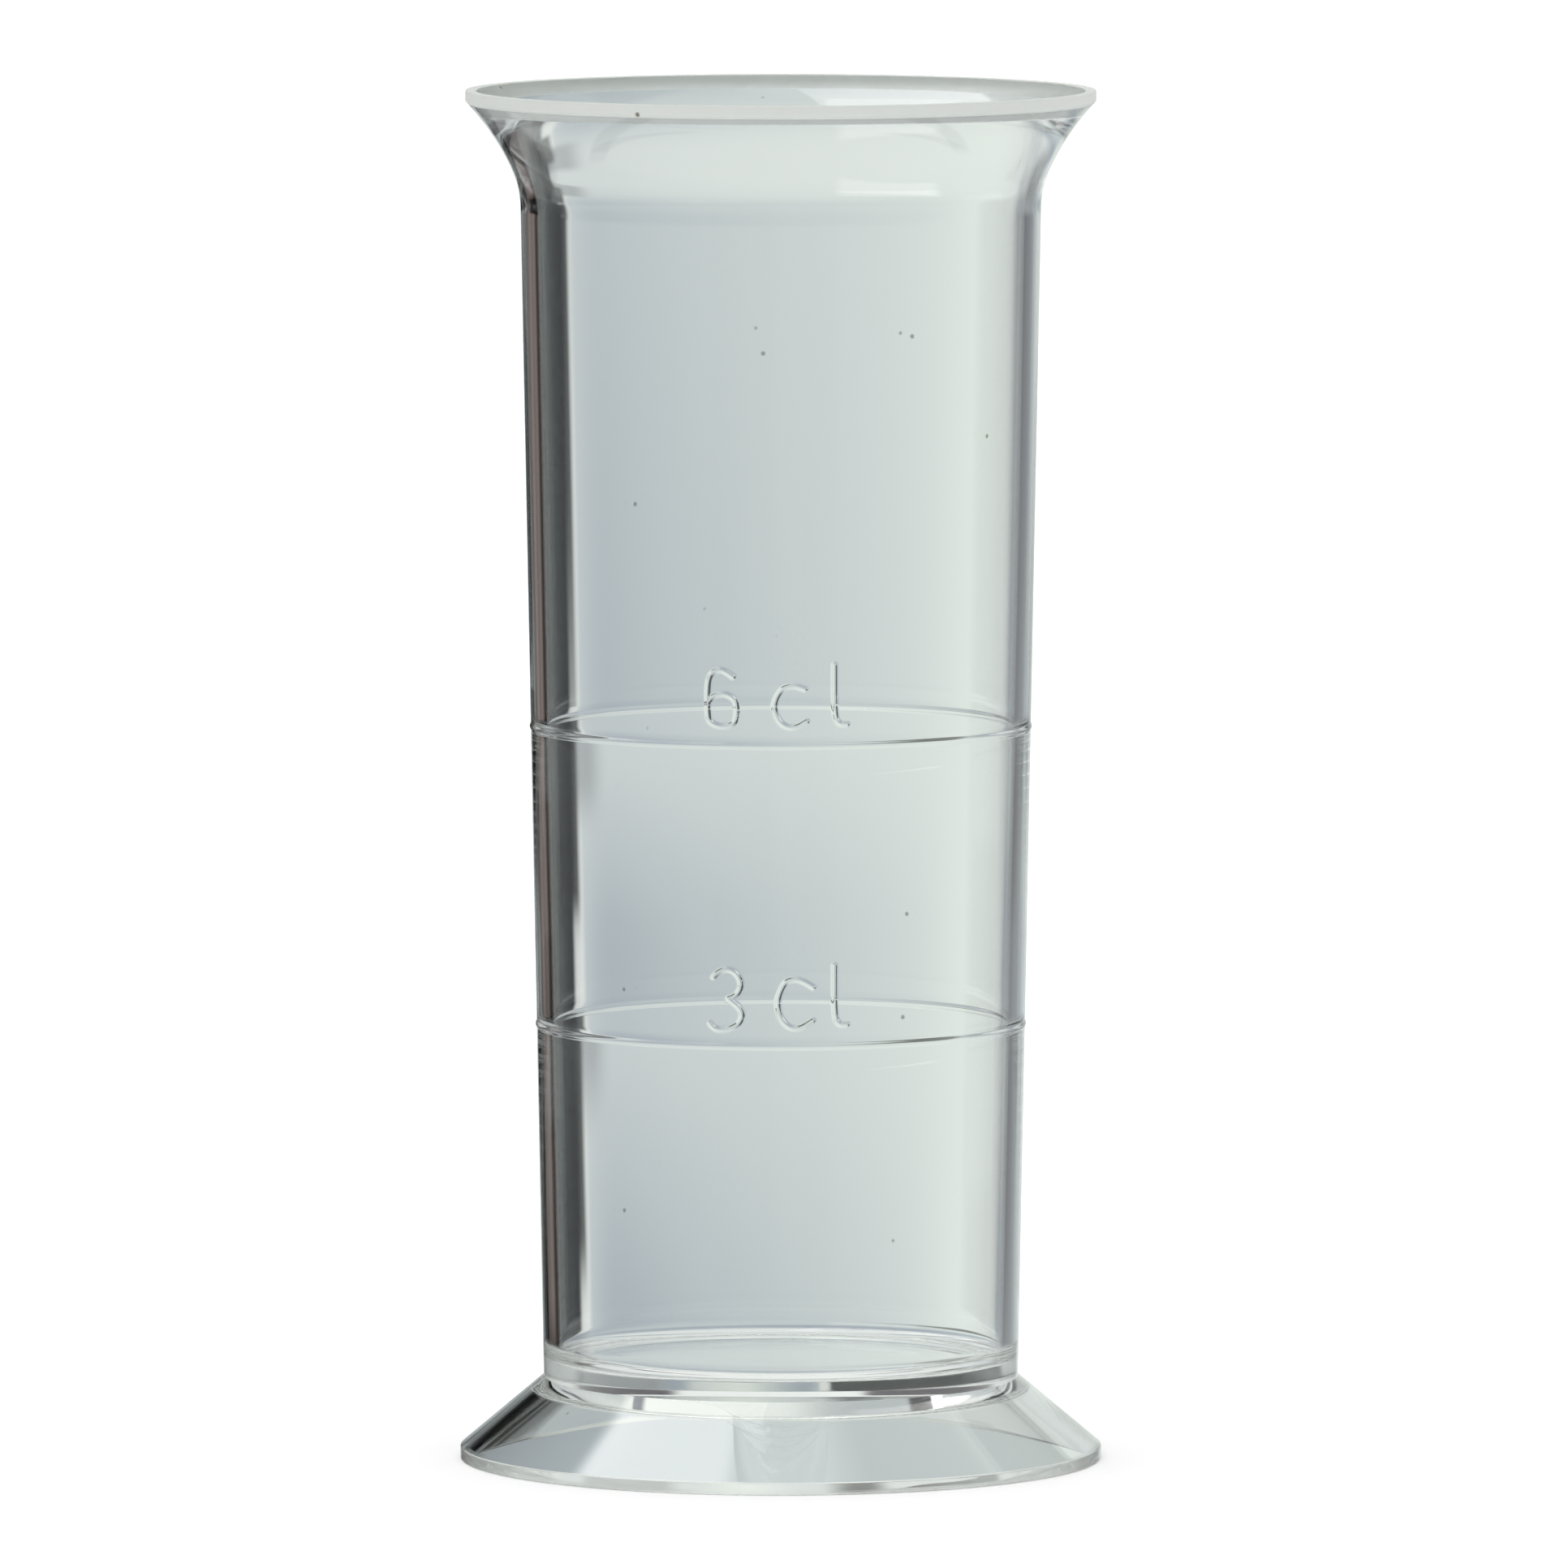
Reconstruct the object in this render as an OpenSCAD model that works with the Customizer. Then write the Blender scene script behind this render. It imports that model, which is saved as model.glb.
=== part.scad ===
// Footed spirit measure with two moulded graduation rings.
//
// A clear tapered tube with a flared lip stands on a hollow conical foot that is cemented
// under its floor. Both pieces are turned shapes about the Z axis, standing on Z = 0.
// All sizes are in millimetres.
//
// The two rings aren't placed by eye. Each stands where its volume fills the tapered bore,
// plus the height that the edge of the liquid climbs on the wall.

/* [Measure] */
// Volume up to the lower ring, in millilitres
lower_volume = 30; // [20:1:36]
// Volume up to the upper ring, in millilitres
upper_volume = 60; // [45:1:75]
// Height that the edge of the liquid climbs the wall above its level surface
meniscus_rise = 1.8; // [0:0.1:3]

/* [Tube] */
// Overall height, from the table to the brim
overall_h = 115.7; // [108:0.1:140]
// Outer diameter of the tube at the seam with the foot
tube_d = 40.1; // [36:0.1:44]
// Draft of the tube on each side, in degrees, wider towards the top
draft = 1.08; // [0.5:0.02:1.5]
// Thickness of the tube's wall
wall = 1.35; // [1:0.05:2]
// Thickness of the tube's own floor
floor_t = 1.6; // [1:0.1:3]
// Radius of the corner between the bore and the floor
floor_corner_r = 1.5; // [0.5:0.1:3]

/* [Lip] */
// Outer diameter of the flared lip
lip_d = 53.1; // [50:0.1:58]
// Height of the lip's blunt outer edge
lip_edge_h = 0.9; // [0.5:0.05:1.5]
// Width of the flat ring on top of the lip
lip_land = 0.85; // [0.5:0.05:1.2]
// Radius of the short bend where the outer wall starts to flare
lip_bend_r = 8; // [3:0.5:10]
// Slope of the outer wall just above that bend, in degrees from upright
lip_low_slope = 24; // [20:1:28]
// Slope of the outer wall under the lip's edge, in degrees from upright
lip_top_slope = 44; // [40:1:48]
// Depth below the brim at which the bore starts to flare
throat_depth = 10.3; // [9:0.1:12]

/* [Rings] */
// How far a graduation ring stands out of the wall
ring_relief = 0.15; // [0.1:0.01:0.25]
// Width of a graduation ring where it meets the wall
ring_w = 0.5; // [0.4:0.05:0.8]

/* [Foot] */
// Outer diameter of the foot
foot_d = 54.2; // [50:0.1:60]
// Height of the foot, from the table to the seam under the tube
foot_h = 6.95; // [6:0.05:10]
// Height of the foot's blunt outer edge
foot_edge_h = 1; // [0.5:0.1:1.5]
// Thickness of the foot's conical skirt, square to its slope
skirt_t = 1.4; // [1:0.1:2]
// Thickness of the foot's flat top plate
plate_t = 1.8; // [1.2:0.1:2.5]
// Radius of the corner inside the foot, between the skirt and the plate
hollow_corner_r = 1; // [0.5:0.1:1.5]

/* [Hidden] */

// Fineness of the round shapes
$fn = 180;
// How far a cutting shape runs past what it cuts
over = 1;

// Radii of the main circles
tube_r = tube_d / 2;
lip_r = lip_d / 2;
foot_r = foot_d / 2;

// Heights above the table
floor_z = foot_h + floor_t;
throat_z = overall_h - throat_depth;
lip_edge_z = overall_h - lip_edge_h;

// The straight part of the tube: radius of the wall and of the bore at a height
function wall_r(z) = tube_r + (z - foot_h) * tan(draft);
function bore_r(z) = wall_r(z) - wall / cos(draft);

// Level to which a volume in millilitres fills the bore, which is part of a cone.
// A cone that widens by tan(draft) holds PI * (r1^3 - r0^3) / (3 * tan(draft)).
function level(ml) =
    (pow(3000 * ml * tan(draft) / PI + pow(bore_r(floor_z), 3), 1 / 3) - bore_r(floor_z))
    / tan(draft);
lower_ring_z = floor_z + level(lower_volume) + meniscus_rise;
upper_ring_z = floor_z + level(upper_volume) + meniscus_rise;

// Outside of the lip: a short bend, then one long arc that reaches the blunt edge.
// How far each of the two runs outwards and upwards, for a radius of one
bend_out = cos(draft) - cos(lip_low_slope);
bend_up = sin(lip_low_slope) - sin(draft);
sweep_out = cos(lip_low_slope) - cos(lip_top_slope);
sweep_up = sin(lip_top_slope) - sin(lip_low_slope);
// Height at which the bend starts, so that the arcs end just at the lip's edge
bend_z = (lip_edge_z - lip_bend_r * bend_up
    - (lip_r - wall_r(0) - lip_bend_r * bend_out) * sweep_up / sweep_out)
    / (1 - tan(draft) * sweep_up / sweep_out);
sweep_r = (lip_edge_z - bend_z - lip_bend_r * bend_up) / sweep_up;
// Centres of the two arcs, as radius and height
bend_centre = [wall_r(bend_z) + lip_bend_r * cos(draft), bend_z - lip_bend_r * sin(draft)];
bend_end = bend_centre + lip_bend_r * [-cos(lip_low_slope), sin(lip_low_slope)];
sweep_centre = bend_end + sweep_r * [cos(lip_low_slope), -sin(lip_low_slope)];

// Inside of the lip: one arc from the bore to the inner edge of the land
land_r = lip_r - lip_land;
throat_out = land_r - bore_r(throat_z);
throat_r = (pow(throat_out, 2) + pow(throat_depth, 2))
    / (2 * (throat_out * cos(draft) - throat_depth * sin(draft)));
throat_centre = [bore_r(throat_z) + throat_r * cos(draft), throat_z - throat_r * sin(draft)];

// Radius of the round back of a ring, of which only the relief stands out of the wall
bead_r = (pow(ring_w / 2, 2) + pow(ring_relief, 2)) / (2 * ring_relief);

// Outside slope of the foot's skirt, in degrees above level
skirt_slope = atan2(foot_h - foot_edge_h, foot_r - tube_r);
plate_z = foot_h - plate_t;
// Radius of the hollow at a height, one skirt thickness inside the outer slope
function hollow_r(z) = tube_r + (foot_h - z) / tan(skirt_slope) - skirt_t / sin(skirt_slope);

// Fillet in the corner of a section: the space between two sides that meet at corner and
// the arc of radius r that touches both. The sides run along the angles a and b. The
// fillet also reaches a little into the material behind the corner, so that they merge.
module corner_fillet(corner, r, a, b) {
    half = abs(b - a) / 2;
    inwards = [cos((a + b) / 2), sin((a + b) / 2)];
    reach = r / tan(half);
    centre = corner + r / sin(half) * inwards;
    difference() {
        polygon([
            corner - r / 2 * inwards,
            corner + reach * [cos(a), sin(a)],
            centre,
            corner + reach * [cos(b), sin(b)]
        ]);
        translate(centre) circle(r);
    }
}

// Round cut into the outer wall, kept between two heights
module round_cut(centre, r, low, high) {
    intersection() {
        translate(centre) circle(r);
        translate([0, low]) square([lip_r + over, high - low]);
    }
}

// Everything inside the outer wall: a cone, and a lip that the two arcs hollow out
module outside_section() {
    difference() {
        polygon([
            [0, foot_h],
            [tube_r, foot_h],
            [wall_r(bend_z), bend_z],
            [lip_r, bend_z],
            [lip_r, overall_h],
            [0, overall_h]
        ]);
        round_cut(bend_centre, lip_bend_r, bend_z, bend_end[1]);
        round_cut(sweep_centre, sweep_r, bend_end[1], overall_h + over);
    }
}

// The space for the liquid: a cone that widens along one arc at its mouth
module bore_section() {
    difference() {
        polygon([
            [0, floor_z],
            [bore_r(floor_z), floor_z],
            [bore_r(throat_z), throat_z],
            [land_r, throat_z],
            [land_r, overall_h + over],
            [0, overall_h + over]
        ]);
        translate(throat_centre) circle(throat_r);
        corner_fillet([bore_r(floor_z), floor_z], floor_corner_r, 90 - draft, 180);
    }
}

// Round bead on the outer wall at a height
module ring_bead(z) {
    translate([wall_r(z) + ring_relief - bead_r, z]) circle(bead_r);
}

module measuring_tube() {
    color([0.80, 0.85, 0.87, 0.45])
    rotate_extrude() {
        difference() {
            outside_section();
            bore_section();
        }
        ring_bead(lower_ring_z);
        ring_bead(upper_ring_z);
    }
}

// Hollow skirt with a flat plate on top, which the tube's floor is cemented to
module foot() {
    color([0.86, 0.90, 0.90, 0.45])
    rotate_extrude() {
        polygon([
            [0, foot_h],
            [tube_r, foot_h],
            [foot_r, foot_edge_h],
            [foot_r, 0],
            [hollow_r(0), 0],
            [hollow_r(plate_z), plate_z],
            [0, plate_z]
        ]);
        corner_fillet([hollow_r(plate_z), plate_z], hollow_corner_r, -skirt_slope, -180);
    }
}

measuring_tube();
foot();
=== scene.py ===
# %% [markdown]
# # A clear footed measure
# The real object is moulded in clear plastic: a tapered tube with a flared lip, cemented on a
# hollow foot. Clear things show hardly any colour of their own. What we see is the room, bent
# by the walls, so this lesson spends its care on two things: exact round walls, and what stands
# around the measure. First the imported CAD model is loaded. It gives the size and the place.

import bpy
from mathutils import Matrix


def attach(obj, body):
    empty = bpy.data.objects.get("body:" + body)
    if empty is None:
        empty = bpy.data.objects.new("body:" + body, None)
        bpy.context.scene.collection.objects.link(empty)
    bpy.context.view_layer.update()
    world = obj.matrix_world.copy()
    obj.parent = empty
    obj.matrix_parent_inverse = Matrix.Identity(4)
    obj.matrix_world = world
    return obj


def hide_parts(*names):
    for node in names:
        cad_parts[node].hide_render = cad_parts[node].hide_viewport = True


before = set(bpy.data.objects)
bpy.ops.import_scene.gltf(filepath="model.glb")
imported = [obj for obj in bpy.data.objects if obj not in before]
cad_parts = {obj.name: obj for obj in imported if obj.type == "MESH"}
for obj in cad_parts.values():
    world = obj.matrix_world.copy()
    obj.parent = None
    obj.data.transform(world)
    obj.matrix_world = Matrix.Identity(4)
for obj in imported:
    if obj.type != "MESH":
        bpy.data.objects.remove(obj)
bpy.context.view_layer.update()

# %% [markdown]
# ## Tools and units
# A maker works in millimetres and degrees, and Blender in metres and radians. The script could
# be typed in metres, but then every size would be a string of noughts. So all sizes are in
# millimetres and are turned into metres where a mesh or a shader gets them.

# %% Tools and units
import math

import bmesh
import bpy
from mathutils import Matrix, Vector
from mathutils.kdtree import KDTree

MM = 0.001  # every size below is written in millimetres and multiplied by this


def sind(a):
    return math.sin(math.radians(a))


def cosd(a):
    return math.cos(math.radians(a))


def tand(a):
    return math.tan(math.radians(a))


print("units: 1 mm is", MM, "m")

# %% [markdown]
# ## The camera
# The photographer stood far back with a long lens and looked down by five degrees, so the
# measure has almost no perspective and its circles are slim ellipses. A camera could be aimed
# with a constraint, but a constraint hides its numbers. Here the distance, the tilt and the
# width of the view are written out, and the lens follows from them.

# %% The camera
VIEW_TILT = 5.0  # degrees below level
VIEW_DISTANCE = 1650.6 * MM
VIEW_WIDTH = 132.3 * MM  # what the frame spans at the axis of the tube
AIM = Vector((0.27, 0.0, 57.08)) * MM

camera = bpy.data.objects.new("camera", bpy.data.cameras.new("camera"))
bpy.context.scene.collection.objects.link(camera)
bpy.context.scene.camera = camera
camera.data.sensor_width = 36.0
camera.data.lens = camera.data.sensor_width * VIEW_DISTANCE / VIEW_WIDTH
camera.data.clip_start = 0.05
camera.data.clip_end = 20.0
camera.location = AIM + VIEW_DISTANCE * Vector((0, -cosd(VIEW_TILT), sind(VIEW_TILT)))
camera.rotation_euler = (math.radians(90 - VIEW_TILT), 0, 0)
print("lens in mm:", round(camera.data.lens, 1))

# %% [markdown]
# ## The sizes of the tube and the foot
# But for the rings' backs, these are the sizes of the CAD source, and the same short sums:
# where the lip's arcs start and end, and how high 30 ml and 60 ml stand in a bore that widens
# upwards. The loaded mesh could be measured instead, but its facets are too coarse for clear
# walls, which magnify every flat. A new wall, spun from the same numbers, is smooth and has
# the same size.

# %% The sizes
TUBE_R, DRAFT, WALL, FLOOR = 20.05, 1.08, 1.35, 1.6
HEIGHT, SEAM = 115.7, 6.95
FLOOR_ROUND = 1.5
LIP_R, LIP_EDGE, LIP_LAND = 26.55, 0.9, 0.85
BEND_R, LOW_SLOPE, TOP_SLOPE, THROAT_DEPTH = 8.0, 24.0, 44.0, 10.3
RING_RELIEF = 0.10  # lower than the bead in the CAD source, and wider, with soft shoulders
FOOT_R, FOOT_EDGE, SKIRT, PLATE, HOLLOW_ROUND = 27.1, 1.0, 1.4, 1.8, 1.0
MENISCUS = 1.8

FLOOR_Z = SEAM + FLOOR
THROAT_Z = HEIGHT - THROAT_DEPTH
LIP_Z = HEIGHT - LIP_EDGE
PLATE_Z = SEAM - PLATE


def wall_r(z):
    """Radius of the straight outer wall at a height."""
    return TUBE_R + (z - SEAM) * tand(DRAFT)


def bore_r(z):
    """Radius of the straight bore at a height."""
    return wall_r(z) - WALL / cosd(DRAFT)


def level(ml):
    """Height above the floor that a volume fills the bore to, a part of a cone."""
    start = bore_r(FLOOR_Z)
    return ((3000 * ml * tand(DRAFT) / math.pi + start**3) ** (1 / 3) - start) / tand(DRAFT)


LOWER_RING = FLOOR_Z + level(30) + MENISCUS
UPPER_RING = FLOOR_Z + level(60) + MENISCUS
print("rings at", round(LOWER_RING, 2), "and", round(UPPER_RING, 2), "mm")

# %% Where the lip's arcs run
sweep_share = (sind(TOP_SLOPE) - sind(LOW_SLOPE)) / (cosd(LOW_SLOPE) - cosd(TOP_SLOPE))
bend_out, bend_up = cosd(DRAFT) - cosd(LOW_SLOPE), sind(LOW_SLOPE) - sind(DRAFT)
BEND_Z = (LIP_Z - BEND_R * bend_up - (LIP_R - wall_r(0) - BEND_R * bend_out) * sweep_share) / (
    1 - tand(DRAFT) * sweep_share
)
SWEEP_R = (LIP_Z - BEND_Z - BEND_R * bend_up) / (sind(TOP_SLOPE) - sind(LOW_SLOPE))
bend_centre = Vector((wall_r(BEND_Z) + BEND_R * cosd(DRAFT), BEND_Z - BEND_R * sind(DRAFT)))
bend_end = bend_centre + BEND_R * Vector((-cosd(LOW_SLOPE), sind(LOW_SLOPE)))
sweep_centre = bend_end + SWEEP_R * Vector((cosd(LOW_SLOPE), -sind(LOW_SLOPE)))

LAND_R = LIP_R - LIP_LAND
throat_out = LAND_R - bore_r(THROAT_Z)
THROAT_R = (throat_out**2 + THROAT_DEPTH**2) / (
    2 * (throat_out * cosd(DRAFT) - THROAT_DEPTH * sind(DRAFT))
)
throat_centre = Vector(
    (bore_r(THROAT_Z) + THROAT_R * cosd(DRAFT), THROAT_Z - THROAT_R * sind(DRAFT))
)
print("lip bends out from", round(BEND_Z, 2), "mm; sweep radius", round(SWEEP_R, 2), "mm")

SKIRT_SLOPE = math.degrees(math.atan2(SEAM - FOOT_EDGE, FOOT_R - TUBE_R))


def hollow_r(z):
    """Radius of the foot's hollow at a height, one skirt thickness inside the slope."""
    return TUBE_R + (SEAM - z) / tand(SKIRT_SLOPE) - SKIRT / sind(SKIRT_SLOPE)


# %% [markdown]
# ## Drawing a section
# A turned or moulded round piece is one outline swept round an axis. The outline could be typed
# in as a list of points, but a list says nothing about why the points are there. Instead a
# single vertex is pushed along: extruded for a straight side, spun about a centre for an arc.
# Straight sides get an extra vertex close to each end, which keeps the shading of a flat side
# flat right up to its corner.

# %% Helpers that draw a section
GUARD = 0.12  # mm from the end of a side to its extra vertex


def begin(radius, height):
    """A bmesh with one vertex, in the plane where y is nought."""
    section = bmesh.new()
    made = bmesh.ops.create_vert(section, co=(radius * MM, 0, height * MM))
    return section, made["vert"][0]


def side(section, tip, radius, height, stops=(), heights=()):
    """Extrudes the tip along a straight side, past guard vertices, shares of it or heights."""
    start, end = tip.co.copy(), Vector((radius, 0, height)) * MM
    guard = min(GUARD * MM / (end - start).length, 0.25)
    marked = [(z * MM - start.z) / (end.z - start.z) for z in heights]
    for share in (guard, *stops, *marked, 1 - guard, 1):
        tip = bmesh.ops.extrude_vert_indiv(section, verts=[tip])["verts"][0]
        tip.co = start.lerp(end, share)
    return tip


THIRDS = (1 / 3, 2 / 3)  # stops for a long side
FINE_ARC, COARSE_ARC = 1.5, 6.0  # degrees between the vertices of a wide arc and of a small one


def arc(section, tip, centre, end, step=3.0):
    """Spins the tip about a centre in the section's plane until it points at the end."""
    hub = Vector((centre[0], 0, centre[1])) * MM
    before = math.atan2(tip.co.z - hub.z, tip.co.x - hub.x)
    after = math.atan2(end[1] - centre[1], end[0] - centre[0])
    turn = (before - after + math.pi) % (2 * math.pi) - math.pi
    steps = max(2, math.ceil(abs(math.degrees(turn)) / step))
    made = bmesh.ops.spin(
        section, geom=[tip], cent=hub, axis=(0, 1, 0), dvec=(0, 0, 0), angle=turn,
        steps=steps, use_merge=False, use_normal_flip=False, use_duplicate=False,
    )
    return [g for g in made["geom_last"] if isinstance(g, bmesh.types.BMVert)][0]


LIP_EASE, FOOT_EASE = 0.28, 0.15  # mm of rounding at the blunt edges
SAME_PLACE = 1e-7  # m, nearer than this is the same place


def ease_corners(section, corners, radius):
    """Rounds corners of the section, as the polished edge of a mould leaves them."""
    picked = [
        v
        for v in section.verts
        for r, z in corners
        if (v.co - Vector((r, 0, z)) * MM).length < SAME_PLACE
    ]
    bmesh.ops.bevel(
        section, geom=picked, offset=radius * MM, offset_type="OFFSET", segments=5,
        profile=0.5, affect="VERTICES", material=-1, clamp_overlap=False,
    )
    print("corners eased:", len(picked))


# %% [markdown]
# ## The measuring tube
# On the real object this is one moulding. Its section goes once round: underside, outer wall,
# the lip's two arcs, the blunt edge, the land, the throat, the bore and the floor. The rings
# that mark 30 ml and 60 ml are grooves turned in the mould and then polished, so they fade into
# the wall with soft shoulders. The wall gets rows of vertices there, and these are moved out by
# a curve that starts and ends without a step. A bevel would leave two lines that catch light.

# %% A soft swelling, for the rings and later for the numerals


def swelling(away, half, relief):
    """How far the wall stands out at a distance from the middle of a raised line."""
    return relief * (1 - min(away / half, 1) ** 2) ** 2


RING_HALF, RING_ROWS = 0.38, 8  # mm from a ring's crest to where it ends, and rows on the way


def ring_heights(ring):
    """Heights across a ring, close enough together for its round back."""
    return [ring + RING_HALF * k / RING_ROWS for k in range(-RING_ROWS, RING_ROWS + 1)]


# %% The tube's section
MARK_LOW, MARK_HIGH = 0.9, 7.4  # mm above a ring, where the wall is made fine for numerals

wall_heights = []
for ring in (LOWER_RING, UPPER_RING):
    wall_heights += ring_heights(ring) + [ring + MARK_LOW, ring + MARK_HIGH]

tube_section, tip = begin(0, SEAM)
tip = side(tube_section, tip, TUBE_R, SEAM, THIRDS)
tip = side(tube_section, tip, wall_r(BEND_Z), BEND_Z, heights=wall_heights)
for ring in (LOWER_RING, UPPER_RING):
    for vert in tube_section.verts:
        vert.co.x += swelling(abs(vert.co.z / MM - ring), RING_HALF, RING_RELIEF) * MM
tip = arc(tube_section, tip, bend_centre, bend_end)
tip = arc(tube_section, tip, sweep_centre, (LIP_R, LIP_Z), FINE_ARC)
tip = side(tube_section, tip, LIP_R, HEIGHT)
tip = side(tube_section, tip, LAND_R, HEIGHT)
tip = arc(tube_section, tip, throat_centre, (bore_r(THROAT_Z), THROAT_Z), FINE_ARC)

corner_half = (90 + DRAFT) / 2
reach = FLOOR_ROUND / tand(corner_half)
corner = Vector((bore_r(FLOOR_Z), FLOOR_Z))
inwards = Vector((cosd(135 - DRAFT / 2), sind(135 - DRAFT / 2)))
floor_round_centre = corner + FLOOR_ROUND / sind(corner_half) * inwards
tip = side(tube_section, tip, *(corner + reach * Vector((sind(DRAFT), cosd(DRAFT)))), THIRDS)
tip = arc(tube_section, tip, floor_round_centre, corner - Vector((reach, 0)), COARSE_ARC)
tip = side(tube_section, tip, 0, FLOOR_Z, THIRDS)
ease_corners(tube_section, [(LIP_R, LIP_Z), (LIP_R, HEIGHT), (LAND_R, HEIGHT)], LIP_EASE)
print("tube's section:", len(tube_section.verts), "vertices")

# %% [markdown]
# ## Spinning the section
# The Screw modifier would do the same, but as an operator the spin is done once and the mesh
# can then be worked on. With use_merge the last step closes onto the first. The vertices on
# the axis are still copied at each step, so the doubles are merged before the normals are
# made to point outwards. Edges that fold sharply are marked sharp, and all faces are smooth.

# %% A helper that spins a section into a piece
STEPS = 360  # faces round a piece
SHARP_FOLD = 35  # degrees, and edges that fold by more stay sharp


def turn(section):
    """Spins a section about the Z axis into a closed surface, without doubled vertices."""
    bmesh.ops.spin(
        section, geom=section.verts[:] + section.edges[:], cent=(0, 0, 0), axis=(0, 0, 1),
        dvec=(0, 0, 0), angle=2 * math.pi, steps=STEPS, use_merge=True,
        use_normal_flip=False, use_duplicate=False,
    )
    bmesh.ops.remove_doubles(section, verts=section.verts[:], dist=SAME_PLACE)


def finish_piece(body, name):
    """Makes an object of a closed surface, smooth but for its sharp edges."""
    bmesh.ops.recalc_face_normals(body, faces=body.faces[:])
    for face in body.faces:
        face.smooth = True
    for edge in body.edges:
        closed = len(edge.link_faces) == 2
        edge.smooth = closed and edge.calc_face_angle() < math.radians(SHARP_FOLD)
    open_edges = [e for e in body.edges if len(e.link_faces) != 2]
    triangles = sum(len(face.verts) - 2 for face in body.faces)
    print(name, "volume", round(body.calc_volume() * 1e9, 1), "mm3; open edges", len(open_edges))
    print(name, "triangles", triangles)
    piece = bpy.data.objects.new(name, bpy.data.meshes.new(name))
    bpy.context.scene.collection.objects.link(piece)
    body.to_mesh(piece.data)
    body.free()
    return piece


turn(tube_section)
print("tube spun:", len(tube_section.faces), "faces")

# %% [markdown]
# ## The capacity marks
# Over each ring stands what it measures, 3 cl and 6 cl, as raised strokes 0.6 mm wide. On the
# real mould they are cut into the steel with a round graver. They could be drawn in the
# material as a bump, but clear relief works as a small lens, so it needs a real shape. Separate
# beads laid on the wall would leave a skin between bead and wall, which bends the light
# wrongly. So a patch of the wall itself is cut fine, and lifted under the strokes.

# %% The strokes of the marks
# Across the front of the wall and up from the ring, in millimetres
DIGIT_3 = [
    [(-5.7, 5.8), (-5.3, 6.2), (-4.7, 6.5), (-4.1, 6.4), (-3.6, 6.0), (-3.3, 5.3), (-3.5, 4.6),
     (-3.9, 4.2), (-4.4, 4.0)],
    [(-4.4, 4.0), (-4.0, 3.7), (-3.5, 3.3), (-3.2, 2.7), (-3.4, 2.1), (-3.8, 1.7), (-4.6, 1.4),
     (-5.5, 1.4), (-6.0, 1.9)],
]
DIGIT_6 = [
    [(-4.0, 5.8), (-4.9, 6.4), (-5.6, 6.3), (-6.2, 5.6), (-6.2, 2.4), (-5.9, 1.9), (-5.1, 1.6),
     (-4.2, 1.7), (-3.7, 2.2), (-3.7, 3.7), (-4.2, 4.2), (-4.9, 4.4), (-5.7, 4.2), (-6.2, 3.6)],
]
LOWER_C = [
    [(2.7, 5.0), (1.9, 5.5), (1.2, 5.7), (0.4, 5.5), (0.0, 4.8), (-0.3, 3.9), (-0.2, 2.9),
     (0.1, 2.2), (0.7, 1.6), (1.6, 1.5), (2.7, 2.2)],
]
UPPER_C = [
    [(2.0, 4.8), (1.1, 5.1), (0.2, 4.9), (-0.3, 4.3), (-0.6, 3.4), (-0.4, 2.5), (0.2, 1.7),
     (1.2, 1.5), (2.2, 2.1)],
]
LETTER_L = [[(4.5, 6.8), (4.5, 2.5), (4.9, 1.8), (5.6, 1.8)]]
MARKS = [(LOWER_RING, DIGIT_3 + LOWER_C + LETTER_L), (UPPER_RING, DIGIT_6 + UPPER_C + LETTER_L)]


def on_wall(across, z):
    """The point of the outer wall that lies so far round from the front, at a height."""
    angle = across / wall_r(z)
    return Vector((wall_r(z) * math.sin(angle), -wall_r(z) * math.cos(angle), z)) * MM


def round_corners(points, rounds=2):
    """Cuts each corner of a stroke at a quarter of its sides, and then once more."""
    for _ in range(rounds):
        cut = [points[0]]
        for a, b in zip(points, points[1:]):
            cut += [a.lerp(b, 0.25), a.lerp(b, 0.75)]
        points = cut + [points[-1]]
    return points


BEAD_STEP = 0.04  # mm between the beads that a stroke is strung from
beads = []
for ring, strokes in MARKS:
    for stroke in strokes:
        line = round_corners([Vector(point) for point in stroke])
        for a, b in zip(line, line[1:]):
            count = math.ceil((b - a).length / BEAD_STEP)
            for k in range(count):
                place = a.lerp(b, k / count)
                beads.append(on_wall(place.x, ring + place.y))
nearest_bead = KDTree(len(beads))
for number, place in enumerate(beads):
    nearest_bead.insert(place, number)
nearest_bead.balance()
print("strokes strung from", len(beads), "beads")

# %% Cut the patches fine and lift the strokes
MARK_LEFT, MARK_RIGHT = -18, 17  # degrees round from the front, whole steps of the spin
STROKE_RELIEF, STROKE_HALF = 0.07, 0.30  # mm, how far a stroke stands out and half its width
FINE_ROWS, FINE_COLUMNS = 92, 4  # cuts, which leave cells of 0.07 mm


def in_patch(vert, ring):
    """Whether a vertex lies on the outer wall, in the patch over a ring."""
    x, y, z = vert.co / MM
    return (
        MARK_LOW - 1e-3 < z - ring < MARK_HIGH + 1e-3
        and MARK_LEFT - 1e-3 < math.degrees(math.atan2(x, -y)) < MARK_RIGHT + 1e-3
        and math.hypot(x, y) > wall_r(z) - WALL / 2
    )


def patch_edges(body, ring, upright):
    """The edges of a patch that run up the wall, or else those that run round it."""
    inside = {vert for vert in body.verts if in_patch(vert, ring)}
    return [
        edge
        for edge in body.edges
        if edge.verts[0] in inside
        and edge.verts[1] in inside
        and (abs(edge.verts[0].co.z - edge.verts[1].co.z) > SAME_PLACE) == upright
    ]


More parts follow.
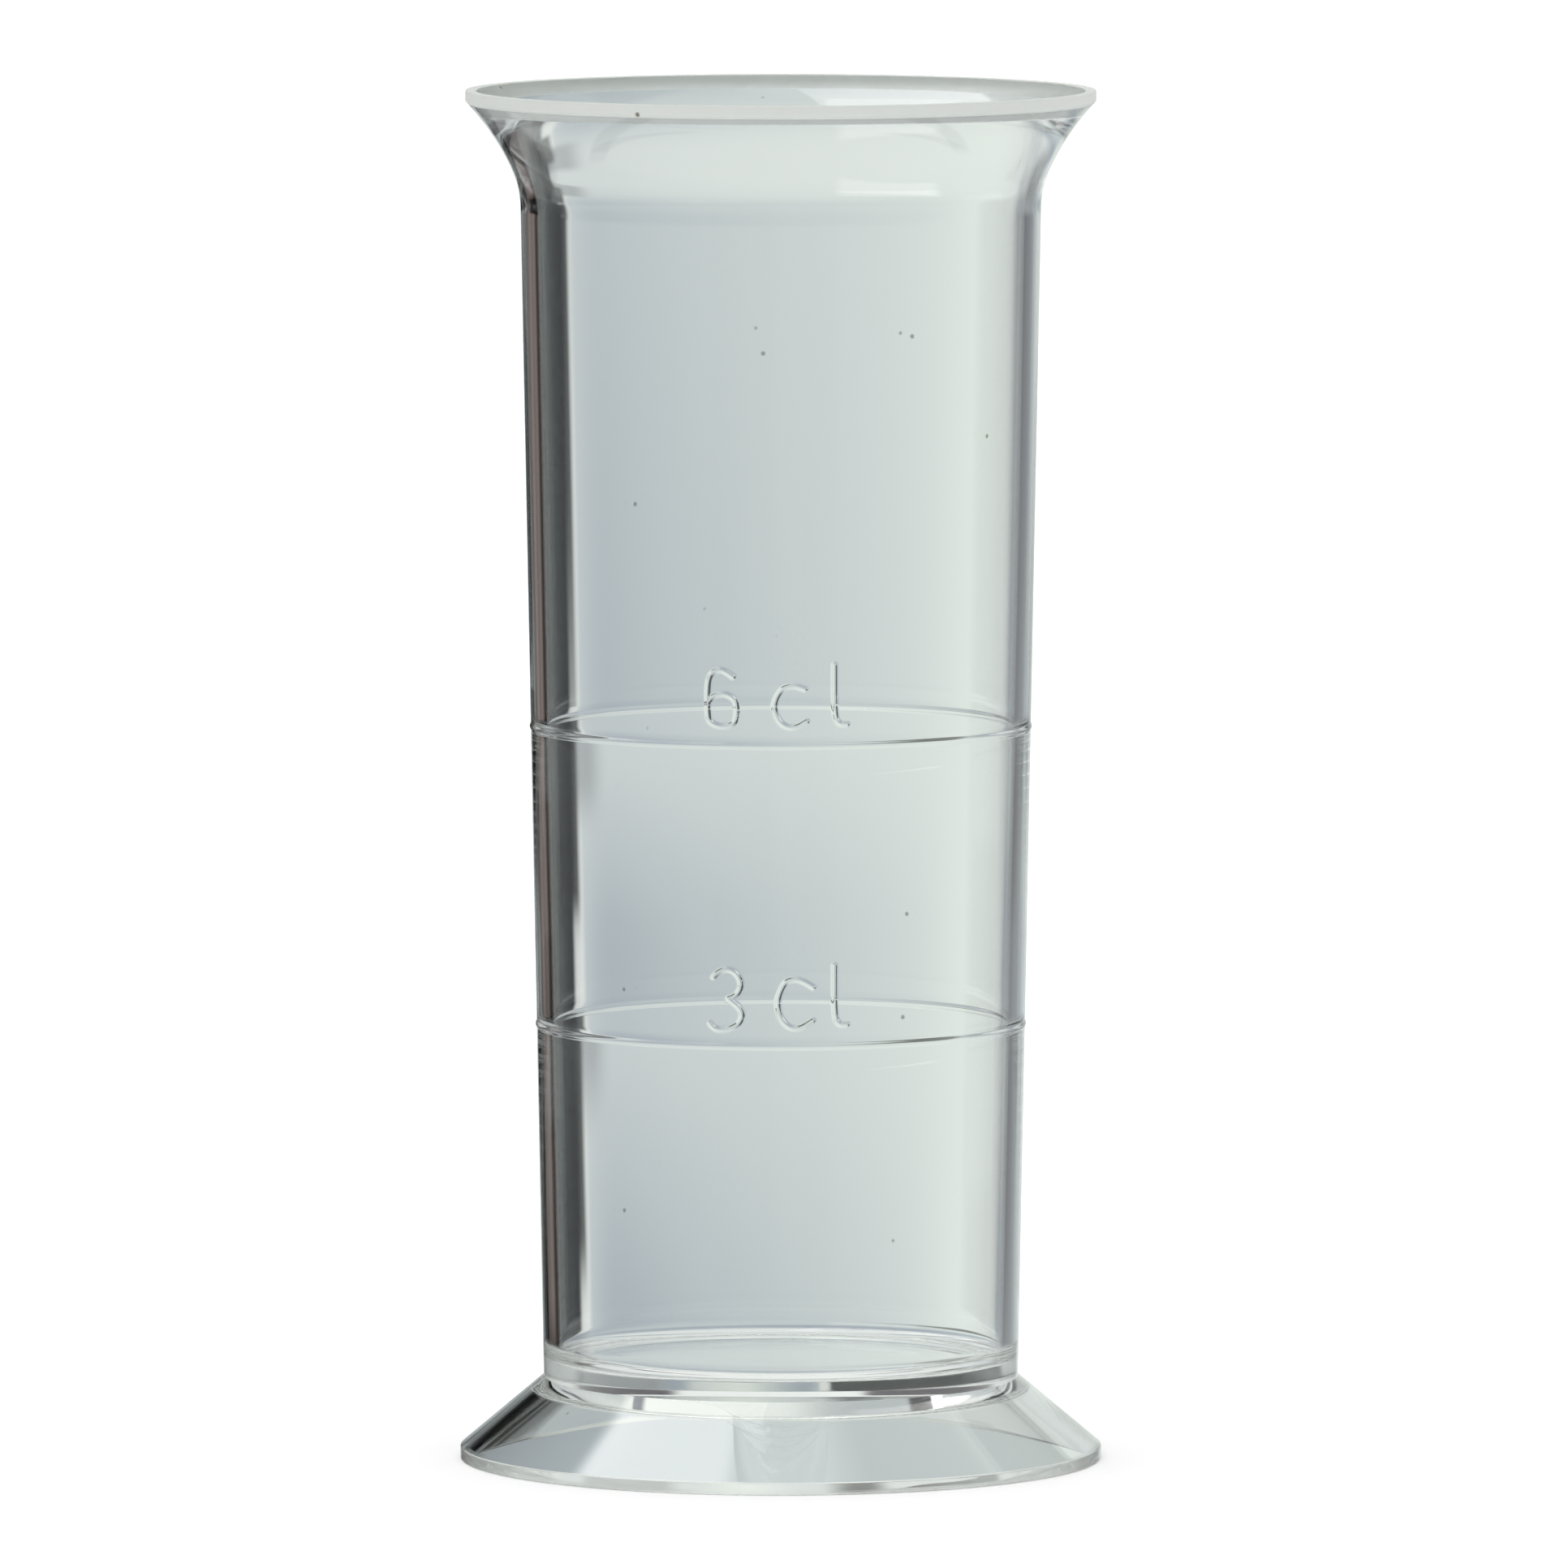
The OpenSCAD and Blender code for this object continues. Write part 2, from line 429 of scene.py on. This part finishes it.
for ring, _ in MARKS:
    for upright, cuts in ((True, FINE_ROWS), (False, FINE_COLUMNS)):
        bmesh.ops.subdivide_edges(
            tube_section, edges=patch_edges(tube_section, ring, upright), cuts=cuts
        )
    lifted = 0
    for vert in [v for v in tube_section.verts if in_patch(v, ring)]:
        z = vert.co.z / MM
        away = nearest_bead.find(vert.co)[2] / MM
        lift = swelling(away, STROKE_HALF, STROKE_RELIEF)
        stretch = (wall_r(z) + lift) * MM / math.hypot(vert.co.x, vert.co.y)
        vert.co.x *= stretch
        vert.co.y *= stretch
        lifted += lift > 0
    print("vertices lifted over the ring at", round(ring, 1), "mm:", lifted)

tube = finish_piece(tube_section, "clear_tube")

# %% [markdown]
# ## The foot
# On the real object this is the second moulding, a hollow skirt with a flat plate on top. The
# skirt keeps one thickness, so that it cools evenly and doesn't sink, and it rests on a narrow
# ring. A solid cone with a second cone cut from it by a boolean would have the same shape, but
# booleans leave long thin faces, which show in clear walls. So the foot is spun from its own
# section too, with the inside drawn one thickness inside the outer slope.

# %% The foot
foot_section, tip = begin(0, SEAM)
tip = side(foot_section, tip, TUBE_R, SEAM, THIRDS)
tip = side(foot_section, tip, FOOT_R, FOOT_EDGE, THIRDS)
tip = side(foot_section, tip, FOOT_R, 0)
tip = side(foot_section, tip, hollow_r(0), 0)
skirt_half = (180 - SKIRT_SLOPE) / 2
skirt_reach = HOLLOW_ROUND / tand(skirt_half)
hollow_corner = Vector((hollow_r(PLATE_Z), PLATE_Z))
down_skirt = Vector((cosd(SKIRT_SLOPE), -sind(SKIRT_SLOPE)))
hollow_centre = hollow_corner + HOLLOW_ROUND / sind(skirt_half) * Vector(
    (cosd((180 + SKIRT_SLOPE) / 2), -sind((180 + SKIRT_SLOPE) / 2))
)
tip = side(foot_section, tip, *(hollow_corner + skirt_reach * down_skirt), THIRDS)
tip = arc(
    foot_section, tip, hollow_centre, hollow_corner - Vector((skirt_reach, 0)), COARSE_ARC
)
tip = side(foot_section, tip, 0, PLATE_Z, THIRDS)
ease_corners(foot_section, [(FOOT_R, FOOT_EDGE), (FOOT_R, 0), (hollow_r(0), 0)], FOOT_EASE)
turn(foot_section)
foot = finish_piece(foot_section, "clear_foot")

# %% [markdown]
# ## What has happened to the surface
# Clear plastic has no grain to show, but it is never perfect. It flows into the mould in slow
# waves, which bend what stands behind it a little. Its rims are dull, because the measure is
# stood on them to drain. Fine hairlines from washing run every way, and a few specks of dust
# cling to it. A photograph of such wear could be laid on as an image, but that needs a picture
# and an unwrapped surface, and it ends where the picture ends. Noise in the object's own
# coordinates covers it all. The two mouldings share these effects, so they are one shader node
# group, which each material sets to its own strengths.

# %% A node group for moulded, used plastic
surface = bpy.data.node_groups.new("used_moulding", "ShaderNodeTree")
INPUTS = {
    "Clear": ("NodeSocketColor", (1.0, 1.0, 1.0, 1.0)),
    "Wave Size": ("NodeSocketFloat", 60.0),
    "Rim Height": ("NodeSocketFloat", 0.1),
    "Rim Depth": ("NodeSocketFloat", 0.001),
    "Rim Dullness": ("NodeSocketFloat", 0.3),
    "Hairlines": ("NodeSocketFloat", 0.05),
    "Dust": ("NodeSocketFloat", 1.0),
}
for label, (kind, start) in INPUTS.items():
    surface.interface.new_socket(label, in_out="INPUT", socket_type=kind).default_value = start
for label, kind in (("Color", "NodeSocketColor"), ("Roughness", "NodeSocketFloat"),
                    ("Height", "NodeSocketFloat")):
    surface.interface.new_socket(label, in_out="OUTPUT", socket_type=kind)
knots, ties = surface.nodes, surface.links
given = knots.new("NodeGroupInput").outputs
made = knots.new("NodeGroupOutput").inputs
spot = knots.new("ShaderNodeTexCoord").outputs["Object"]
print("group takes", ", ".join(INPUTS))

# %% Helpers for the group's nodes


def blend(operation, *values):
    """A Math node in the group, fed by numbers or by other nodes' outputs."""
    node = knots.new("ShaderNodeMath")
    node.operation = operation
    for socket, value in zip(node.inputs, values):
        if isinstance(value, (int, float)):
            socket.default_value = value
        else:
            ties.new(value, socket)
    return node.outputs[0]


def between(value, low, high):
    """Rises softly from 0 to 1 between two limits, which may be numbers or outputs."""
    node = knots.new("ShaderNodeMapRange")
    node.interpolation_type = "SMOOTHSTEP"
    for label, what in (("Value", value), ("From Min", low), ("From Max", high)):
        if isinstance(what, (int, float)):
            node.inputs[label].default_value = what
        else:
            ties.new(what, node.inputs[label])
    return node.outputs["Result"]


def noise(scale, detail=2.0, stretch=(1, 1, 1)):
    """Soft noise on the object, drawn out along its axes by a stretch."""
    mapping = knots.new("ShaderNodeMapping")
    mapping.inputs["Scale"].default_value = stretch
    ties.new(spot, mapping.inputs["Vector"])
    node = knots.new("ShaderNodeTexNoise")
    node.inputs["Detail"].default_value = detail
    ties.new(mapping.outputs[0], node.inputs["Vector"])
    if isinstance(scale, (int, float)):
        node.inputs["Scale"].default_value = scale
    else:
        ties.new(scale, node.inputs["Scale"])
    return node.outputs["Fac"]


# %% [markdown]
# ## Waves, hairlines and dull rims
# The slow waves are a large soft noise, drawn out along the flow of the plastic, which is up
# the tube. A hairline could be a drawn curve, but there are hundreds. Where a stretched noise
# passes its middle value it draws a long thin line by itself, and a second noise lets only
# patches of these lines through. The rims are dull up to a depth, measured from their height.

# %% Waves and hairlines
ALONG_FLOW = (1, 1, 0.35)
HAIRLINE_SCALE, HAIRLINE_WIDTH, PATCH_SCALE = 90.0, 0.006, 70.0
ties.new(noise(given["Wave Size"], 1.0, ALONG_FLOW), made["Height"])

lines = None
for stretch in ((1, 1, 14), (14, 14, 1)):
    band = blend("ABSOLUTE", blend("SUBTRACT", noise(HAIRLINE_SCALE, 0.0, stretch), 0.5))
    line = between(band, HAIRLINE_WIDTH, 0.0)
    lines = line if lines is None else blend("MAXIMUM", lines, line)
patchy = between(noise(PATCH_SCALE), 0.5, 0.75)
hairlines = blend("MULTIPLY", blend("MULTIPLY", lines, patchy), given["Hairlines"])
print("after waves and hairlines:", len(knots), "nodes")

# %% Dull rims
SCUFF_SCALE = 900.0
parts = knots.new("ShaderNodeSeparateXYZ")
ties.new(spot, parts.inputs[0])
away = blend("ABSOLUTE", blend("SUBTRACT", parts.outputs["Z"], given["Rim Height"]))
worn = between(away, given["Rim Depth"], blend("MULTIPLY", given["Rim Depth"], 0.75))
scuffs = blend("ADD", blend("MULTIPLY", noise(SCUFF_SCALE), 0.6), 0.7)
dull = blend("MULTIPLY", blend("MULTIPLY", worn, scuffs), given["Rim Dullness"])
ties.new(blend("MAXIMUM", dull, hairlines), made["Roughness"])
print("after dull rims:", len(knots), "nodes")

# %% [markdown]
# ## Dust
# A few dark specks cling to the walls. Tiny spheres could be scattered over them, but specks
# this small are only dots of colour. A Voronoi texture cuts space into cells, each with a
# random value. Only cells with a high value get a dot, round the middle of the cell, and a dot
# shows where it happens to touch a wall.

# %% Dust
DUST_SCALE, DUST_CHOICE = 170.0, 0.6
DUST_EDGE, DUST_CORE = 0.048, 0.02  # of a cell, where a dot starts and where it is full
DUST_COLOUR = (0.2, 0.17, 0.13, 1)
cells = knots.new("ShaderNodeTexVoronoi")
cells.inputs["Scale"].default_value = DUST_SCALE
ties.new(spot, cells.inputs["Vector"])
cell_value = knots.new("ShaderNodeSeparateColor")
ties.new(cells.outputs["Color"], cell_value.inputs[0])
chosen = blend("GREATER_THAN", cell_value.outputs[0], DUST_CHOICE)
dot = between(cells.outputs["Distance"], DUST_EDGE, DUST_CORE)
dust = blend("MULTIPLY", blend("MULTIPLY", chosen, dot), given["Dust"])
tint = knots.new("ShaderNodeMix")
tint.data_type = "RGBA"
ties.new(dust, tint.inputs["Factor"])
ties.new(given["Clear"], tint.inputs["A"])
tint.inputs["B"].default_value = DUST_COLOUR
ties.new(tint.outputs["Result"], made["Color"])
print("group", surface.name, "has", len(knots), "nodes")

# %% [markdown]
# ## Clear plastic and cement
# A clear moulding is a solid body of one index, so the shader is given closed walls with real
# thickness and bends the light at each surface. It could be told to throw a shadow like any
# solid, but real clear plastic hardly does. Instead rays that look for light go straight
# through. Where the tube's floor is cemented on the foot, the two surfaces lie on each other.
# Good cement fills that joint with the plastic's own index, so it bends nothing and can't be
# seen, and those faces get a film that is simply transparent.

# %% The clear plastic
CRYSTAL_INDEX = 1.57  # clear styrene bends light more than window glass, which has 1.52


def clear_plastic(name, values, wave_depth, clearness=1.0):
    """Clear plastic with the group's effects, which lets the light of lamps through."""
    material = bpy.data.materials.new(name)
    material.use_nodes = True
    nodes, links = material.node_tree.nodes, material.node_tree.links
    shader = nodes["Principled BSDF"]
    shader.inputs["IOR"].default_value = CRYSTAL_INDEX
    shader.inputs["Transmission Weight"].default_value = clearness
    group = nodes.new("ShaderNodeGroup")
    group.node_tree = surface
    for label, value in values.items():
        group.inputs[label].default_value = value
    links.new(group.outputs["Color"], shader.inputs["Base Color"])
    links.new(group.outputs["Roughness"], shader.inputs["Roughness"])
    bump = nodes.new("ShaderNodeBump")
    bump.inputs["Distance"].default_value = wave_depth * MM
    links.new(group.outputs["Height"], bump.inputs["Height"])
    links.new(bump.outputs["Normal"], shader.inputs["Normal"])
    through = nodes.new("ShaderNodeBsdfTransparent")
    mix = nodes.new("ShaderNodeMixShader")
    links.new(nodes.new("ShaderNodeLightPath").outputs["Is Shadow Ray"], mix.inputs["Fac"])
    links.new(shader.outputs[0], mix.inputs[1])
    links.new(through.outputs[0], mix.inputs[2])
    links.new(mix.outputs[0], nodes["Material Output"].inputs["Surface"])
    return material


# %% The cement and the two finishes


def cement_film(name):
    """The cement in the joint, which has the plastic's own index and so bends nothing."""
    material = bpy.data.materials.new(name)
    material.use_nodes = True
    nodes, links = material.node_tree.nodes, material.node_tree.links
    nodes.remove(nodes["Principled BSDF"])
    film = nodes.new("ShaderNodeBsdfTransparent")
    links.new(film.outputs[0], nodes["Material Output"].inputs["Surface"])
    return material


TUBE_FINISH = {
    "Clear": (0.995, 0.998, 0.996, 1), "Wave Size": 45.0, "Rim Height": HEIGHT * MM,
    "Rim Depth": 1.3 * MM, "Rim Dullness": 0.7, "Hairlines": 0.10, "Dust": 1.0,
}
FOOT_FINISH = {
    "Clear": (0.995, 0.998, 0.994, 1), "Wave Size": 60.0, "Rim Height": 0.0,
    "Rim Depth": 0.3 * MM, "Rim Dullness": 0.12, "Hairlines": 0.12, "Dust": 1.0,
}
WAVE_DEPTH = 0.05  # mm that the slow waves rise and fall by
print("finishes for the tube and the foot, with waves of", WAVE_DEPTH, "mm")

# %% The tube and the foot get their finish and take the place of the CAD pieces
for piece, node, finish in (
    (tube, "measuring_tube", TUBE_FINISH), (foot, "foot", FOOT_FINISH)
):
    piece.data.materials.append(clear_plastic(piece.name + "_plastic", finish, WAVE_DEPTH))
    piece.data.materials.append(cement_film(piece.name + "_cement"))
    cemented = 0
    for face in piece.data.polygons:
        if all(abs(piece.data.vertices[v].co.z - SEAM * MM) < 1e-8 for v in face.vertices):
            face.material_index = 1
            cemented += 1
    print("cemented faces of", piece.name + ":", cemented)
    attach(piece, "root")
    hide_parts(node)

# %% [markdown]
# ## The worn edges
# The blunt edges of the lip and of the foot look milky. They take every knock and are covered
# with fine scratches, and each of them scatters light. Roughness alone can't show this,
# because a rough clear edge still passes on the dark of the walls. The faces of these edges
# get a slot of their own, whose plastic is partly opaque and pale, with the same wear as before.
# The foot's edge is worn less than the lip's, because it seldom meets another measure.

# %% The slot of the worn edges
EDGE_TINT = {"Clear": (0.93, 0.95, 0.91, 1)}


def wear_edge(piece, name, finish, clearness, low, high, inner):
    """Gives the faces between two heights and outside a radius the worn plastic."""
    piece.data.materials.append(
        clear_plastic(name, {**finish, **EDGE_TINT}, WAVE_DEPTH, clearness)
    )
    worn = 0
    for face in piece.data.polygons:
        if low < face.center.z / MM < high and face.center.xy.length / MM > inner:
            face.material_index = 2
            worn += 1
    print("faces on", name + ":", worn)


wear_edge(tube, "worn_rim", TUBE_FINISH, 0.6, LIP_Z - 0.2, HEIGHT + 1, LAND_R - 0.05)
wear_edge(foot, "worn_foot_edge", FOOT_FINISH, 0.78, 0.05, FOOT_EDGE + 0.06, FOOT_R - 0.1)

# %% [markdown]
# ## The studio
# A clear piece needs something to bend and to reflect. Lamps would give only small sparks, so
# the light is a dome of soft cards instead, drawn by direction in the world's nodes. Each card
# stands for a thing that a studio could have: the grey sweep behind the measure, black boards
# at its sides, which draw the dark limbs of the tube, and a soft box high at the left, whose
# reflection is the long highlight in the lip. A note says what each draws. The cards could be
# real boards in the scene, but boards near a clear piece throw light and shade on the floor.
# Cards that are only directions are as far away as a sky, and every view has some of them.

# %% Directions: azimuth from straight behind to the viewer's right, elevation above level
world = bpy.data.worlds.new("studio")
bpy.context.scene.world = world
world.use_nodes = True
bpy.context.scene.view_settings.view_transform = "Standard"
sky, wire = world.node_tree.nodes, world.node_tree.links
sky.clear()


def sky_math(operation, *values):
    """A Math node in the world, fed by numbers or by other nodes' outputs."""
    node = sky.new("ShaderNodeMath")
    node.operation = operation
    for socket, value in zip(node.inputs, values):
        if isinstance(value, (int, float)):
            socket.default_value = value
        else:
            wire.new(value, socket)
    return node.outputs[0]


direction = sky.new("ShaderNodeSeparateXYZ")
wire.new(sky.new("ShaderNodeTexCoord").outputs["Generated"], direction.inputs[0])
turned = sky_math("ARCTAN2", direction.outputs["X"], direction.outputs["Y"])
azimuth = sky_math("MULTIPLY", turned, 180 / math.pi)
elevation = sky_math("MULTIPLY", sky_math("ARCSINE", direction.outputs["Z"]), 180 / math.pi)

# %% Soft cards


def inside(value, half, soft):
    """Goes softly from 1 to 0 where the size of a value passes a half width, in degrees."""
    node = sky.new("ShaderNodeMapRange")
    node.interpolation_type = "SMOOTHSTEP"
    wire.new(sky_math("ABSOLUTE", value), node.inputs["Value"])
    node.inputs["From Min"].default_value = half + soft / 2
    node.inputs["From Max"].default_value = half - soft / 2
    return node.outputs["Result"]


def card(behind, colour, at, half_width, up, half_height, side_soft, edge_soft, lean=0):
    """Lays a soft-edged card of one colour over what is behind it, all in degrees."""
    across = sky_math("WRAP", sky_math("SUBTRACT", azimuth, at), 180.0, -180.0)
    along = sky_math("SUBTRACT", elevation, up)
    if lean:
        level_part = sky_math("MULTIPLY", across, cosd(lean))
        across, along = (
            sky_math("MULTIPLY_ADD", along, sind(lean), level_part),
            sky_math("MULTIPLY_ADD", along, cosd(lean), sky_math("MULTIPLY", across, -sind(lean))),
        )
    mix = sky.new("ShaderNodeMix")
    mix.data_type = "RGBA"
    mask = sky_math(
        "MULTIPLY", inside(across, half_width, side_soft), inside(along, half_height, edge_soft)
    )
    wire.new(mask, mix.inputs["Factor"])
    wire.new(behind, mix.inputs["A"])
    mix.inputs["B"].default_value = (*colour, 1)
    return mix.outputs["Result"]


def shade_of(elevation_value, low, middle, high):
    """A vertical blend from a low colour through a middle one at the horizon to a high one."""
    node = sky.new("ShaderNodeValToRGB")
    wire.new(
        sky_math("ADD", sky_math("DIVIDE", elevation_value, 120.0), 0.5), node.inputs["Fac"]
    )
    node.color_ramp.elements[0].color = (*low, 1)
    node.color_ramp.elements[1].color = (*high, 1)
    node.color_ramp.elements.new(0.5).color = (*middle, 1)
    return node.outputs["Color"]


# %% The dome and its cards
view = shade_of(elevation, (0.85, 0.88, 0.85), (0.60, 0.65, 0.65), (0.85, 0.89, 0.83))
# Colour, azimuth, half width, elevation, half height, softness of the sides and of the upper
# and lower edge, and lean, all in degrees. Later cards hang in front of earlier ones.
CARDS = [
    # The bright ceiling
    ((1.3, 1.33, 1.28), 0, 180, 86, 6, 1, 5),
    # Shade on the right of the lip
    ((0.2, 0.22, 0.22), 58, 26, 62, 14, 12, 8),
    # Shade on the left of the lip
    ((0.48, 0.52, 0.52), -27, 21, 42, 7, 14, 6),
    # The dim room behind the camera
    ((0.42, 0.47, 0.49), 188, 90, -18, 13, 40, 13),
    # The sweep, where it comes forward
    ((0.32, 0.37, 0.42), 7.5, 14.7, -16.5, 13.3, 6.3, 8),
    # The sweep, where it is lit
    ((0.62, 0.66, 0.65), 10.2, 5.6, 1.4, 14.9, 4.4, 8),
    # Its brighter side, seen in the right of the tube
    ((0.79, 0.85, 0.80), 6.3, 5.6, -5.7, 16.2, 13.6, 5.5),
    # A bright gap, the line beside the left limb
    ((0.80, 0.83, 0.80), -8.1, 0.8, -6.5, 6.0, 1.0, 4),
    # The grey in the left of the foot
    ((0.20, 0.19, 0.19), -29.4, 18.6, -20.7, 8.5, 4, 4.3),
    # The black in the left of the foot
    ((0.03, 0.03, 0.03), -47, 9, -20, 9, 5, 5),
    # A grey touch beside the left limb
    ((0.33, 0.35, 0.36), -7.4, 2.2, 0.6, 2.6, 2, 2),
    # A leaning board: dark arc in the slab, right
    ((0.0, 0.01, 0.04), 36.5, 14.1, 36.2, 3.0, 1.6, 2.5, 47),
    # A small dark board high at the left
    ((0.05, 0.05, 0.05), -42, 6, 40, 7, 3, 4),
    # A leaning board: dark arc in the slab, left
    ((0.0, 0.0, 0.0), -31, 28, 28, 4.5, 5.9, 3.8, -45.3),
    # A leaning edge: dark marks in the foot
    ((0.1, 0.11, 0.09), 11.5, 14.0, -23.3, 2.6, 2.8, 2.4, -54.3),
    # A low leaning edge: lower arc, right
    ((0.08, 0.07, 0.08), 69.5, 13, -57.5, 3.9, 5, 2.6, 63),
    # The dark board of the right limb
    ((0.18, 0.19, 0.2), 33.7, 12.5, 0, 10.9, 5.6, 20.8),
    # Its darker middle
    ((0.15, 0.15, 0.16), 42.8, 10.8, 1.0, 5.5, 3.9, 13.6),
    # The black board of the left limb
    ((0.01, 0.01, 0.01), -40, 27, -4.5, 6.5, 6, 3),
    # The lighter streak in that limb
    ((0.24, 0.20, 0.185), -27, 5.5, -1, 5.4, 4, 2),
    # Its sharp inner edge
    ((0.01, 0.01, 0.01), -14.8, 5.6, -7.1, 12.6, 1.0, 3.8),
    # A step in that edge
    ((0.01, 0.01, 0.01), -13, 5.3, -1.8, 3.2, 1.0, 1.6),
    # A low leaning edge: lower arc, left
    ((0.08, 0.07, 0.08), -69, 17, -57, 4.5, 5, 3, -63),
    # The soft box: the highlight in the lip
    ((2.9, 2.9, 2.82), -97, 50, 68.8, 18.9, 4, 5, -14.6),
    # A lower soft box: the band under the rim
    ((2.3, 2.3, 2.25), -124, 27, 28.5, 9, 8, 3, -13),
]
for values in CARDS:
    view = card(view, *values)
print("cards hung in the studio:", len(CARDS))

# %% [markdown]
# ## Who sees what
# A measure in a catalogue stands on plain white, although the room that it bends is grey. That
# is a cut-out, made afterwards. The same can be had at once, because the world may answer each
# kind of ray in its own way: the camera's rays see white, rays that have been bent or
# reflected see the cards, and the floor is lit by an even light. Light also runs round and
# round inside a clear wall before it gets out, so it needs more turns than a usual scene.

# %% What the camera and the floor see of the studio
rays = sky.new("ShaderNodeLightPath")


def light(colour, strength=1.0):
    """Light of a colour, or of another node's output."""
    node = sky.new("ShaderNodeBackground")
    node.inputs["Strength"].default_value = strength
    if isinstance(colour, tuple):
        node.inputs["Color"].default_value = (*colour, 1)
    else:
        wire.new(colour, node.inputs["Color"])
    return node.outputs[0]


def choose(share, first, second):
    """The first light, or the second where the share is one."""
    node = sky.new("ShaderNodeMixShader")
    wire.new(share, node.inputs["Fac"])
    wire.new(first, node.inputs[1])
    wire.new(second, node.inputs[2])
    return node.outputs[0]


TURNS = 48
bounces = bpy.context.scene.cycles
bounces.max_bounces = bounces.transmission_bounces = bounces.glossy_bounces = TURNS
bounces.transparent_max_bounces = TURNS

FLOOR_LIGHT = 1.35
lit = choose(rays.outputs["Is Diffuse Ray"], light(view), light((1, 1, 1), FLOOR_LIGHT))
seen = choose(rays.outputs["Is Camera Ray"], lit, light((1, 1, 1)))
wire.new(seen, sky.new("ShaderNodeOutputWorld").inputs["Surface"])
world.cycles.sampling_method = "NONE"
print("world has", len(sky), "nodes; light turns up to", TURNS, "times")

# %% [markdown]
# ## The floor
# A sheet of white paper, a hair's breadth under the foot, so the two don't fight for the same
# plane. It is large enough to have no edge in the view, and it reflects nothing. The cards
# already stand for what lies under the measure, so the clear walls look past the paper.

# %% The floor
FLOOR_HALF, FLOOR_DROP = 6.0, 0.02  # m from its middle to a side, and mm under the foot
WHITE_PAPER = (0.9, 0.9, 0.9, 1)
floor_mesh = bmesh.new()
bmesh.ops.create_grid(
    floor_mesh, x_segments=1, y_segments=1, size=FLOOR_HALF,
    matrix=Matrix.Translation((0, 0, -FLOOR_DROP * MM)),
)
floor = bpy.data.objects.new("floor", bpy.data.meshes.new("floor"))
floor_mesh.to_mesh(floor.data)
floor_mesh.free()
bpy.context.scene.collection.objects.link(floor)
floor.visible_transmission = False
floor.visible_glossy = False
paper = bpy.data.materials.new("white_paper")
paper.use_nodes = True
matt = paper.node_tree.nodes["Principled BSDF"].inputs
matt["Base Color"].default_value = WHITE_PAPER
matt["Roughness"].default_value = 1.0
matt["Specular IOR Level"].default_value = 0.0
floor.data.materials.append(paper)
print("floor is", floor.dimensions.x, "m wide")
